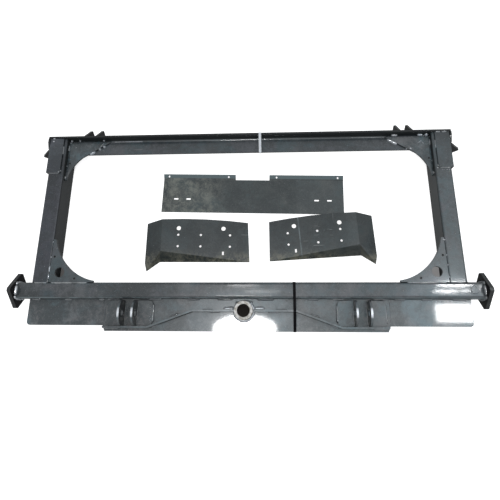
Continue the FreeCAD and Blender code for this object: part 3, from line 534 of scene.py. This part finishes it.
def bead_mesh(track, leg, closed=False, bulge=0.55):
    vertices, faces = [], []
    travelled, along = 0.0, [0.0]
    for before, after in zip(track, track[1:]):
        travelled += (after[0] - before[0]).length
        along.append(travelled)
    phase, drift = rng.random() * PHASES, rng.random() * PHASES
    for (point, out, up), distance in zip(track, along):
        size = leg * (1 + SLOW_WANDER * math.sin(distance / SLOW_LENGTH + drift)
                      + FAST_WANDER * math.sin(distance / FAST_LENGTH + phase))
        ripple = abs(math.sin(math.pi * distance / PITCH + phase))
        if not closed:
            end = min(distance, travelled - distance) / (leg * 1.2)
            size *= math.sqrt(max(1 - (1 - min(end, 1)) ** 2, 0.02))
        root = point - out * SUNK - up * SUNK
        vertices.append(root)
        for i in range(SECTIONS):
            angle = math.pi / 2 * i / (SECTIONS - 1)
            flat_out, flat_up = 1 - i / (SECTIONS - 1), i / (SECTIONS - 1)
            reach_out = flat_out + (math.cos(angle) - flat_out) * bulge
            reach_up = flat_up + (math.sin(angle) - flat_up) * bulge
            swell = 1 + RIPPLE * ripple * math.sin(2 * angle)
            vertices.append(root + out * size * reach_out * swell + up * size * reach_up * swell)
    row = SECTIONS + 1
    rings = len(track) - (1 if closed else 0)
    for i in range(rings if closed else rings - 1):
        j = (i + 1) % rings
        for k in range(row):
            m = (k + 1) % row
            faces.append((i * row + k, i * row + m, j * row + m, j * row + k))
    if not closed:
        faces.append(tuple(range(row))[::-1])
        faces.append(tuple((rings - 1) * row + k for k in range(row)))
    return [tuple(v) for v in vertices[:rings * row]], faces


def seam(side, start, end, out, up, leg, bulge=0.55):
    first, last = (at(side * x, y, z) for x, y, z in (start, end))
    out, up = (Vector((side * x, y, z)).normalized() for x, y, z in (out, up))
    count = max(int((last - first).length / TRACK_STEP), 6)
    return bead_mesh([(first.lerp(last, i / count), out, up) for i in range(count + 1)], leg, bulge=bulge)


def join_meshes(name, parts, material, body):
    vertices, faces = [], []
    for part_vertices, part_faces in parts:
        shift = len(vertices)
        vertices += part_vertices
        faces += [tuple(i + shift for i in face) for face in part_faces]
    mesh = bpy.data.meshes.new(name)
    mesh.from_pydata(vertices, [], faces)
    mesh.validate()
    mesh.update()
    outward = bmesh.new()
    outward.from_mesh(mesh)
    bmesh.ops.recalc_face_normals(outward, faces=outward.faces)
    outward.to_mesh(mesh)
    outward.free()
    mesh.polygons.foreach_set("use_smooth", [True] * len(mesh.polygons))
    mesh.materials.append(material)
    piece = bpy.data.objects.new(name, mesh)
    bpy.context.scene.collection.objects.link(piece)
    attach(piece, body)
    print(name, "made of", len(parts), "parts")
    return piece


# %% [markdown]
# ## Beads on the apron and the centre plate
# The boss was welded all round, with heavier runs at its sides, so its beads are the largest, and their paint carries a
# painted glint.
# The clevis feet are held along three edges, the plates by stitches along the beam, and the stiffeners by short
# runs on both faces. A seam says where it starts and ends, the two ways it leans, and its leg in metres.

# %% Beads on the apron, the centre plate, the boss and the clevises
UP, DOWN = (0, 0, 1), (0, 0, -1)
NEAR, FAR = (0, -1, 0), (0, 1, 0)
OUTWARD, INWARD = (1, 0, 0), (-1, 0, 0)
BOTH = (-1, 1)                            # the left side, then the right

boss_foot = at(0, BOSS_Y, CENTRE)
boss_beads = [bead_mesh(ring(boss_foot, BOSS_RADIUS, 0, 2 * math.pi), 0.0085, closed=True)]
for side in BOTH:
    middle = 0 if side > 0 else math.pi
    for z in (74, 84, 92):
        boss_beads.append(bead_mesh(ring(at(0, BOSS_Y, z), 0.0363, middle - 0.22, middle + 0.22), 0.006, bulge=0.8))
    boss_beads.append(seam(side, (38, -71, CENTRE), (84, -71, CENTRE), FAR, UP, 0.011))
    first = (0.18 if side > 0 else 0.66) * math.pi
    boss_beads.append(bead_mesh(ring(boss_foot, BOSS_RADIUS, first, first + 0.16 * math.pi), 0.015))
join_meshes("weld_boss", boss_beads, weld_painted_glint, "frame")

foot_beads = []
for side in BOTH:
    for ear, way in ((435, -1), (489, 1)):
        end, begin, stop = ear + way * 66, ear + way * 6, ear + way * 50
        foot_beads.append(seam(side, (end, -125, CENTRE), (end, -52, CENTRE), (way, 0, 0), UP, 0.0072))
        for y, facing in ((-137, NEAR), (-39, FAR)):
            foot_beads.append(seam(side, (begin, y, CENTRE), (stop, y, CENTRE), facing, UP, 0.0055))
join_meshes("weld_clevis_feet", foot_beads, weld_paint, "frame")

apron_runs = ((-885, -845), (-745, -712), (-600, -572), (594, 640), (700, 745), (820, 880))
centre_runs = ((-560, -505), (-395, -335), (-235, -180), (-110, -45), (50, 120), (250, 300), (350, 400), (505, 560))
CENTRE_END = 571                          # the ends of the centre plate
plate_beads = []
for runs, level in ((apron_runs, APRON), (centre_runs, CENTRE)):
    for begin, stop in runs:
        plate_beads.append(seam(1, (begin, -BEAM_SIDE, level), (stop, -BEAM_SIDE, level), NEAR, UP, 0.007))
for side in BOTH:
    plate_beads.append(seam(side, (CENTRE_END, -128, APRON), (CENTRE_END, -42, APRON), OUTWARD, UP, 0.0062))
join_meshes("weld_plates", plate_beads, weld_paint, "frame")

SLANT_NEAR, SLANT_FAR = (-0.35, -0.94, 0), (0.35, 0.94, 0)
bar_beads = []
for side in BOTH:
    for (x0, y0), (x1, y1), facing in (
            ((562, -146.5), (505, -146.5), NEAR), ((370, -143), (330, -123.5), SLANT_NEAR),
            ((250, -92), (212, -83.5), SLANT_NEAR), ((140, -83), (95, -83), NEAR),
            ((300, -103), (265, -90.5), SLANT_FAR), ((170, -75), (125, -75), FAR)):
        bar_beads.append(seam(side, (x0, y0, CENTRE), (x1, y1, CENTRE), facing, UP, 0.0045))
join_meshes("weld_stiffeners", bar_beads, weld_paint, "frame")

# %% [markdown]
# ## Beads on the uprights
# The uprights' and the beam's rounded corners leave a groove where they meet, and the bead fills it flush. The
# lower gussets are held to the uprights by short stitches with gaps between them, and no two gaps are alike.

# %% Beads round the window
GROOVE_Y, GROOVE_Z = 31.5, 94.5           # in the groove between the beam and what stands behind it
joint_beads, stitch_beads = [], []
for side in BOTH:
    for begin, stop in ((808, 868), (640, 796)):
        joint_beads.append(seam(side, (begin, GROOVE_Y, GROOVE_Z), (stop, GROOVE_Y, GROOVE_Z), NEAR, UP, 0.0085))
    joint_beads.append(seam(side, (UPRIGHT_OUT, BEAM_SIDE, 48), (UPRIGHT_OUT, BEAM_SIDE, 92), OUTWARD, FAR, 0.006))
STITCH_X, STITCH_Z = UPRIGHT_IN + 0.3, 97.2
for side, stitches in ((-1, ((139, 131), (99, 72), (66, 44), (203, 196))),
                       (1, ((204, 195), (142, 133), (103, 94), (56, 46)))):
    for high, low in stitches:
        stitch_beads.append(seam(side, (STITCH_X, low, STITCH_Z), (STITCH_X, high, STITCH_Z), OUTWARD, UP, 0.0074,
                                 bulge=0.9))
join_meshes("weld_window", joint_beads, weld_paint, "frame")
join_meshes("weld_stitches", stitch_beads, weld_painted_sheen, "frame")

# %% [markdown]
# ## Beads at the far corners and the end flanges
# The far corners carry the most welding, because the lip, the doublers and the hook lugs all meet there. The
# runs are short and differ between left and right, as hand welding does. Each end flange is welded to the beam
# all round, also over the beam's four rounded corners.

# %% Beads at the far corners
GUSSET_TIP, GUSSET_ELBOW = Vector((613, 662.75, 0)), Vector((736, 588.75, 0))
DOUBLER_IN, DOUBLER_NEAR = 817.2, 508.8   # the edges of the doubler's upper face
RIB_NEAR = 623.75                         # the end rib's near face
SIDE_LUG_Y, LUG_HALF = 615.75, 5          # the side lug's middle plane, and half its thickness
gusset_way = (GUSSET_ELBOW - GUSSET_TIP).normalized()
# the second list holds runs in the paint with the painted sheen, where bright marks show
corner_beads, glint_beads = [], []
for side in BOTH:
    front = ((0.08, 0.42), (0.70, 0.76)) if side > 0 else ((0.20, 0.30), (0.36, 0.46), (0.56, 0.77))
    on_lip = ((752, 776), (782, 800), (640, 668)) if side > 0 else ((788, 800), (752, 760), (640, 650))
    on_doubler = ((822, 842), (846, 869)) if side > 0 else ((856, 868),)
    # along the gusset's straight front edge, on the rail's leg
    for begin, stop in front:
        a, b = GUSSET_TIP.lerp(GUSSET_ELBOW, begin), GUSSET_TIP.lerp(GUSSET_ELBOW, stop)
        facing = (gusset_way.y, -gusset_way.x, 0)
        glint_beads.append(seam(side, (a.x, a.y, LEG), (b.x, b.y, LEG), facing, UP, 0.0085))
    # a thin run in the rail's root, beyond the gusset's tip, which paints the highlight in the root's fillet
    glint_beads.append(seam(side, (468, LIP - 5, LEG), (598, LIP - 5, LEG), NEAR, UP, 0.0024))
    # against the lip
    for x0, x1 in on_lip:
        glint_beads.append(seam(side, (x0, LIP, GUSSET), (x1, LIP, GUSSET), NEAR, UP, 0.0075))
    # against the upright
    for y0, y1 in ((487, 502), (545, 552), (620, 650)):
        corner_beads.append(seam(side, (UPRIGHT_IN, y0, GUSSET), (UPRIGHT_IN, y1, GUSSET), INWARD, UP, 0.006))
    # the lip over the doubler and the upright
    for x0, x1 in on_doubler:
        glint_beads.append(seam(side, (x0, LIP, DOUBLER), (x1, LIP, DOUBLER), NEAR, UP, 0.0045))
    # the doubler's near edge and its inner edge
    corner_beads.append(seam(side, (822, DOUBLER_NEAR, FACE), (868, DOUBLER_NEAR, FACE), NEAR, UP, 0.005))
    for y0, y1 in ((513, 524), (596, 636)):
        corner_beads.append(seam(side, (DOUBLER_IN, y0, FACE), (DOUBLER_IN, y1, FACE), INWARD, UP, 0.0048))
    # the end rib's near edge, on the doubler's outer face
    corner_beads.append(seam(side, (DOUBLER_OUT, RIB_NEAR, 69), (DOUBLER_OUT, RIB_NEAR, 99), OUTWARD, NEAR, 0.004))
    # the hook lugs' feet, behind the rail and beside the doubler
    for lug in (671, 723):
        for hand in BOTH:
            x = lug + hand * LUG_HALF
            corner_beads.append(seam(side, (x, RAIL_BACK, 64), (x, RAIL_BACK, 99), (hand, 0, 0), FAR, 0.005))
    for hand in BOTH:
        y = SIDE_LUG_Y + hand * LUG_HALF
        corner_beads.append(seam(side, (DOUBLER_OUT, y, 12), (DOUBLER_OUT, y, 99), (0, hand, 0), OUTWARD, 0.005))
join_meshes("weld_far_corners", corner_beads, weld_paint, "frame")
join_meshes("weld_far_corners_glint", glint_beads, weld_painted_sheen, "frame")

# %% Beads round the beam's ends
BEAM_FOOT = 38.1                          # the height of the beam's underside
ROUNDING, ARC_STEPS = 10, 12              # the radius of the beam's corners, and the steps round each
arc_y, arc_top, arc_foot = BEAM_SIDE - ROUNDING, FACE - ROUNDING, BEAM_FOOT + ROUNDING
# the left flange's beads wear the paint with the painted glint, the right one's the plain bead paint
for side, name, finish in ((-1, "weld_flange_left", weld_painted_glint), (1, "weld_flange_right", weld_paint)):
    flange_beads = []
    for z, out in ((FACE, UP), (BEAM_FOOT, DOWN)):
        flange_beads.append(seam(side, (FLANGE_IN, -20, z), (FLANGE_IN, 20, z), out, INWARD, 0.007))
    for y, out in ((-BEAM_SIDE, NEAR), (BEAM_SIDE, FAR)):
        flange_beads.append(seam(side, (FLANGE_IN, y, 49), (FLANGE_IN, y, 91), out, INWARD, 0.007))
    for quarter, (y, z) in enumerate(((arc_y, arc_top), (-arc_y, arc_top), (-arc_y, arc_foot), (arc_y, arc_foot))):
        track = []
        for i in range(ARC_STEPS + 1):
            angle = quarter * math.pi / 2 + math.pi / 2 * i / ARC_STEPS
            way = Vector((0, math.cos(angle), math.sin(angle)))
            corner = at(side * FLANGE_IN, y + ROUNDING * way.y, z + ROUNDING * way.z)
            track.append((corner, way, Vector((-side, 0, 0))))
        flange_beads.append(bead_mesh(track, 0.007))
    join_meshes(name, flange_beads, finish, "frame")

# %% [markdown]
# ## Spatter
# Welding throws small drops of metal that freeze on the steel near the bead. Each drop is a low dome. To seat
# them, a ray is dropped onto the steel from above at many places round the welds, and a drop is kept only
# where the ray meets a face that looks up.

# %% Drops round the welds
solid_vertices, solid_faces = [], []
for name in frame_names:
    shift = len(solid_vertices)
    solid_vertices += [v.co.copy() for v in nodes[name].data.vertices]
    solid_faces += [tuple(i + shift for i in p.vertices) for p in nodes[name].data.polygons]
steel = BVHTree.FromPolygons(solid_vertices, solid_faces)
ABOVE = 0.5                               # rays start this high, over everything
LEVEL = 0.98                              # a face looks up when its normal rises this far
DOME_SIDES = 7


def steel_under(x, y):
    hit, normal, _, _ = steel.ray_cast(Vector((x, y, ABOVE)), Vector(DOWN))
    return hit if hit is not None and normal.z > LEVEL else None


def dome(centre, radius):
    vertices, faces = [tuple(centre + Vector((0, 0, radius * 0.62)))], []
    for reach, high in ((0.62, 0.46), (1.0, -0.12)):
        for i in range(DOME_SIDES):
            angle = 2 * math.pi * i / DOME_SIDES
            x, y = math.cos(angle) * radius * reach, math.sin(angle) * radius * reach
            vertices.append(tuple(centre + Vector((x, y, radius * high))))
    for i in range(DOME_SIDES):
        j = (i + 1) % DOME_SIDES
        faces.append((0, 1 + i, 1 + j))
        faces.append((1 + i, 1 + DOME_SIDES + i, 1 + DOME_SIDES + j, 1 + j))
    faces.append(tuple(1 + DOME_SIDES + i for i in range(DOME_SIDES))[::-1])
    return vertices, faces


# each hot spot: its place on the right half, how far the drops fly in metres, and how many are tried
hot_spots = ((838, 660, 0.05, 9), (818, 512, 0.035, 6), (700, 630, 0.08, 14), (790, 640, 0.05, 9),
             (803, 90, 0.07, 12), (803, 190, 0.04, 5), (840, 34, 0.05, 7), (700, 40, 0.09, 10), (910, 0, 0.03, 6),
             (760, -45, 0.11, 16), (585, -80, 0.05, 10), (467, -90, 0.08, 12), (372, -90, 0.05, 8),
             (240, -95, 0.08, 9), (60, -80, 0.05, 8), (700, -90, 0.15, 12), (400, 0, 0.25, 8), (150, -50, 0.15, 8))
drops = []
for side in BOTH:
    for x, y, reach, count in hot_spots:
        centre = at(side * x, y, 0)
        for _ in range(count):
            hit = steel_under(centre.x + rng.gauss(0, reach), centre.y + rng.gauss(0, reach * 0.5))
            if hit is not None:
                drops.append(dome(hit, rng.uniform(0.0007, 0.0017)))
join_meshes("weld_drops", drops, weld_paint, "frame")

# %% [markdown]
# ## Tacks
# Before the long beads were laid, the plates were held by tacks, single dots of weld, and here and there a
# row of dots is left. They are the same domes, only larger, and their paler paint is a painted sheen. A row is
# given by its first and last place, the number of dots and their radius.

# %% Tacks and rows of dots
single_tacks = ((-864, 658, 5.0), (-798, 662, 4.0), (-772, 639, 5.0), (-801, 495, 4.5), (-820, 512, 4.5),
                (816, 508, 5.5), (720, 607, 5.0), (169, -40, 4.5), (801, 201, 4.0), (805, 139, 5.5),
                (803, 98, 4.5), (803, 50, 4.0))
tack_rows = [((x, y), (x, y), 1, radius) for x, y, radius in single_tacks]
tack_rows += (((751, 632), (764, 642), 4, 3.0), ((764, 642), (776, 631), 4, 3.0), ((-660, 640), (-645, 655), 5, 2.8),
              ((832, 499), (869, 499), 6, 2.2), ((-379, -60), (-376, -123), 10, 1.8), ((559, -58), (562, -119), 9, 1.8),
              ((-790, -28), (-600, -28), 16, 2.0), ((-560, -28), (-470, -28), 7, 1.8), ((700, -41), (820, -41), 9, 1.8))
STRAY = 0.002                             # how far a dot may lie beside its row
tacks = []
for begin, end, count, radius in tack_rows:
    for i in range(count):
        spot = at(*begin, 0).lerp(at(*end, 0), i / max(1, count - 1))
        hit = steel_under(spot.x + rng.uniform(-1, 1) * STRAY, spot.y)
        if hit is not None:
            tacks.append(dome(hit, radius / MM * rng.uniform(0.8, 1.1)))
join_meshes("weld_tacks", tacks, weld_painted_sheen, "frame")

# %% [markdown]
# ## Floor
# The floor is pale. Close to the steel and under it, an occlusion mask paints shade into its colour and takes its
# glow away, so it shows the frame's shadow only there. It glows for the camera, so that it reads as a white page,
# and it keeps that glow under the three loose sheets, which would darken it otherwise. Where the ground shows
# through the boss and the lower gussets' holes, shade is painted in as a dark colour and less glow.

# %% The floor
# each spot of painted shade: its place, its radius in metres, and the glow that is left
painted_shade_spots = ((at(-6, -74, 0), 0.052, 0.0), (at(790, 84, 0), 0.040, 0.2), (at(-800, 84, 0), 0.040, 0.06),
              (at(-744, 59, 0), 0.013, 0.0), (at(729, 59, 0), 0.013, 0.0))
SHEET_EDGE = 0.012                        # how far inside a sheet's edge its glow ends, and how soon it fades
GROUND = 8                                # half the floor's width in metres
GAP = 0.0004                              # the floor lies this far below the steel


def under_sheet(tree, place, name):
    low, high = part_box(name)
    parts = axes_of(tree, place)
    masks = []
    for axis, begin, stop in (("X", low.x, high.x), ("Y", low.y, high.y)):
        away = math_node(tree, "ABSOLUTE", minus(tree, parts[axis], (begin + stop) / 2))
        half = (stop - begin) / 2 - SHEET_EDGE
        masks.append(spread(tree, away, half - SHEET_EDGE, half, 1.0, 0.0))
    return times(tree, *masks)


def floor_material():
    material, tree = start_material("pale_floor")
    tree.nodes.clear()
    place = new_tree_node(tree, "ShaderNodeTexCoord").outputs["Object"]
    tone = mix(tree, noise(tree, place, 2.0, detail=2.0), (0.60, 0.60, 0.60), (0.63, 0.63, 0.63))
    shade_occlusion = new_tree_node(tree, "ShaderNodeAmbientOcclusion", {"Distance": 0.1}, samples=8)
    open_floor = spread(tree, shade_occlusion.outputs["AO"], 0.12, 0.32)
    # painted shade: the floor's colour darkens where the occlusion mask finds it covered
    tone = mix(tree, spread(tree, shade_occlusion.outputs["AO"], 0.03, 0.16), (0.04, 0.036, 0.032), tone)
    for name in sheet_paints:
        open_floor = larger(tree, open_floor, under_sheet(tree, place, name))
    for spot, radius, glow_left in painted_shade_spots:
        away = new_tree_node(tree, "ShaderNodeVectorMath", {0: place, 1: spot}, operation="DISTANCE").outputs["Value"]
        dark = spread(tree, away, radius * 0.85, radius, 1.0, 0.0)
        tone = mix(tree, dark, tone, (0.10, 0.085, 0.08))
        open_floor = times(tree, open_floor, opposite(tree, dark))
        open_floor = plus(tree, open_floor, times(tree, dark, glow_left))
    surface = new_tree_node(tree, "ShaderNodeBsdfDiffuse", {"Color": tone})
    rays = new_tree_node(tree, "ShaderNodeLightPath").outputs
    mirrored = larger(tree, rays["Is Glossy Ray"], rays["Is Transmission Ray"])
    seen = larger(tree, times(tree, rays["Is Camera Ray"], 0.96), times(tree, mirrored, 0.4))
    glow = new_tree_node(tree, "ShaderNodeEmission", {"Strength": times(tree, seen, open_floor)})
    both = new_tree_node(tree, "ShaderNodeAddShader", {0: surface.outputs[0], 1: glow.outputs[0]})
    new_tree_node(tree, "ShaderNodeOutputMaterial", {"Surface": both.outputs[0]})
    return material


floor_mesh = bpy.data.meshes.new("floor")
floor_corners = [(x * GROUND, y * GROUND, -GAP) for x, y in ((-1, -1), (1, -1), (1, 1), (-1, 1))]
floor_mesh.from_pydata(floor_corners, [], [(0, 1, 2, 3)])
floor = bpy.data.objects.new("floor", floor_mesh)
bpy.context.scene.collection.objects.link(floor)
floor_mesh.materials.append(floor_material())
print("floor:", 2 * GROUND, "m wide, with", len(painted_shade_spots), "dark spots")

# %% [markdown]
# ## World
# The world gives even, slightly cool light from all round. Where the camera or a mirror looks straight at it,
# it is plain white, so that the background stays a white page.

# %% The world
world = bpy.data.worlds.new("studio")
bpy.context.scene.world = world
world.use_nodes = True
sky = world.node_tree
sky.nodes.clear()
rays = new_tree_node(sky, "ShaderNodeLightPath").outputs
seen = larger(sky, rays["Is Camera Ray"], larger(sky, rays["Is Glossy Ray"], rays["Is Transmission Ray"]))
even = new_tree_node(sky, "ShaderNodeBackground", {"Color": (0.95, 0.98, 1.0, 1), "Strength": 0.8})
white = new_tree_node(sky, "ShaderNodeBackground", {"Color": (1, 1, 1, 1), "Strength": 1.0})
choice = new_tree_node(sky, "ShaderNodeMixShader", {0: seen, 1: even.outputs[0], 2: white.outputs[0]})
new_tree_node(sky, "ShaderNodeOutputWorld", {"Surface": choice.outputs[0]})
print("world:", world.name, "with", len(sky.nodes), "nodes")


# %% [markdown]
# ## Lamps
# What makes the paint read as gloss is the glare. The lamps hang high over the frame, and a lamp shows on a
# flat plate about halfway between its own place and the camera. Two bright panels, each with a fainter blue
# halo, make the patches beside the boss and on the apron's right end. Thin tubes draw the streaks along the
# beam. These lamps are mirrored only. One wide soft panel also lights the steel and gives it its shadows.

# %% The lamps
LAMPS, HALOS = 2300, 2600                 # how high they hang, in millimetres
HALO_TINT = (0.45, 0.80, 1.0)


def panel(name, place, size_x, size_y, radiance, colour=(1, 1, 1), only_glare=True, round_shape=False):
    lamp = bpy.data.lights.new(name, "AREA")
    lamp.shape = "ELLIPSE" if round_shape else "RECTANGLE"
    lamp.size, lamp.size_y = size_x, size_y
    lamp.energy = radiance * math.pi * size_x * size_y
    lamp.color = colour
    thing = bpy.data.objects.new(name, lamp)
    bpy.context.scene.collection.objects.link(thing)
    thing.location = place
    thing.visible_diffuse = not only_glare


panel("panel_boss", at(-146, -128, LAMPS), 0.56, 0.24, 80, round_shape=True)
panel("halo_boss", at(-184, -23, HALOS), 1.1, 0.52, 1.1, HALO_TINT, round_shape=True)
panel("panel_apron_end", at(1700, 12, LAMPS), 0.32, 0.15, 80)
panel("halo_apron_end", at(1735, 83, HALOS), 0.8, 0.6, 1.6, HALO_TINT, round_shape=True)
for name, x, y, length, width, strength in (
        ("tube_near", 1612, 193, 0.22, 0.012, 130), ("tube_near_end", 1780, 196, 0.09, 0.012, 80),
        ("tube_far", 1695, 254, 0.30, 0.02, 210), ("tube_tip", 1927, 222, 0.07, 0.06, 14),
        ("tube_mid_far", -160, 256, 0.30, 0.03, 18), ("tube_mid_near", 10, 191, 0.34, 0.03, 8)):
    panel(name, at(x, y, LAMPS), length, width, strength, round_shape=True)
panel("panel_wide", (1.6, 0.4, 3.2), 2.4, 2.0, 0.9, (0.87, 0.97, 1.0), only_glare=False)
view = bpy.context.scene.view_settings
view.view_transform = "Standard"
